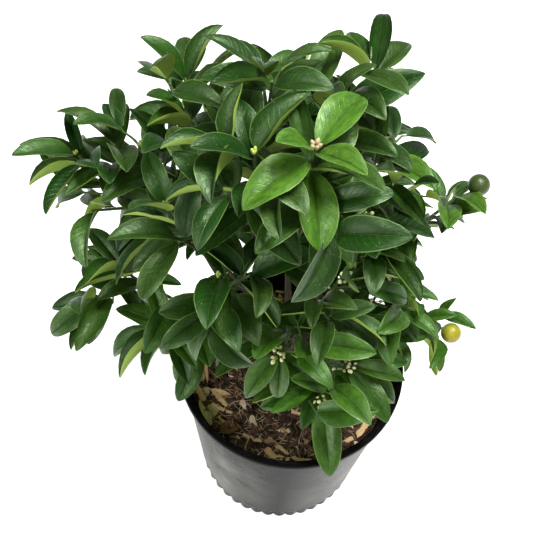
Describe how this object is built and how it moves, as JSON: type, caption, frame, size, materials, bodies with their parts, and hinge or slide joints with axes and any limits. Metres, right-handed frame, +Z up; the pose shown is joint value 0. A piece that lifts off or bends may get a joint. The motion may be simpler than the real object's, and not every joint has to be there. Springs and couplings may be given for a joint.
{
  "type": "calamondin orange bush in a nursery pot",
  "caption": "Bushy calamondin orange with glossy oval leaves on slender boughs, a few small fruit and buds, standing in a plain black round nursery pot filled with bark mulch.",
  "frame": {"origin": "centre of the pot's flat underside", "axes": "+Z up, +X to the bush's right and +Y to its back, as seen from its front"},
  "size_m": [0.4215, 0.3294, 0.5729],
  "materials": {
    "pot_plastic": "semi-matt black moulded plastic",
    "mulch": "coarse dark bark mulch over potting soil",
    "bark": "grey-brown bark with fine relief",
    "leaves": "glossy dark green leaves, paler underneath",
    "young_leaves": "glossy bright green young leaves"
  },
  "bodies": {
    "root": {"pot": "pot_plastic", "soil": "mulch", "trunk": "bark", "bough_left": "bark", "bough_low_left": "bark", "bough_front_left": "bark", "bough_top_left": "bark", "bough_top": "bark", "bough_top_right": "bark", "bough_right": "bark", "bough_low_right": "bark", "bough_front": "bark", "bough_low_front": "bark", "bough_back_left": "bark", "bough_back": "bark", "bough_back_right": "bark", "foliage_far_left": "leaves", "foliage_left_upper": "leaves", "foliage_left_low": "leaves", "foliage_left_low_front": "leaves", "foliage_left_middle": "leaves", "foliage_front_left": "leaves", "foliage_top_left": "leaves", "foliage_crown_left": "leaves", "foliage_crown_back": "leaves", "foliage_crown_young": "young_leaves", "foliage_crown_right": "leaves", "foliage_right_upper": "leaves", "foliage_right_fruit": "leaves", "foliage_right_middle": "leaves", "foliage_right_low_fruit": "leaves", "foliage_right_low": "leaves", "foliage_front_upper": "leaves", "foliage_front_middle": "leaves", "foliage_front_right": "leaves", "foliage_front_low": "leaves", "foliage_back_left": "leaves", "foliage_back_left_low": "leaves", "foliage_back_upper": "leaves", "foliage_back_low": "leaves", "foliage_back_right": "leaves", "foliage_back_right_low": "leaves"}
  },
  "joints": []
}
